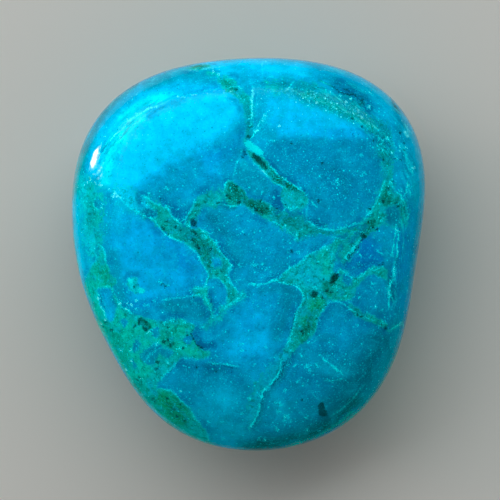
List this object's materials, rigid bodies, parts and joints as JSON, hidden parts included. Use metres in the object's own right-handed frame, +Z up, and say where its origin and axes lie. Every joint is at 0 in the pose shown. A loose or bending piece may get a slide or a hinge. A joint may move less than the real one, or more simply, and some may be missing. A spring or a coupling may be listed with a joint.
{
  "type": "tumbled chrysocolla stone",
  "caption": "Polished tumbled chrysocolla stone, a rounded blue-green pebble with green veins that lies on a flat spot of its underside.",
  "frame": {"origin": "on the surface that the stone lies on, under the middle of its outline", "axes": "+Z up out of the polished face, +Y along the stone's length towards its broad end, +X towards the side with the worn shoulder"},
  "size_m": [0.0354, 0.0392, 0.0162],
  "materials": {
    "chrysocolla": "polished"
  },
  "bodies": {
    "root": {"chrysocolla_stone": "chrysocolla"}
  },
  "joints": []
}
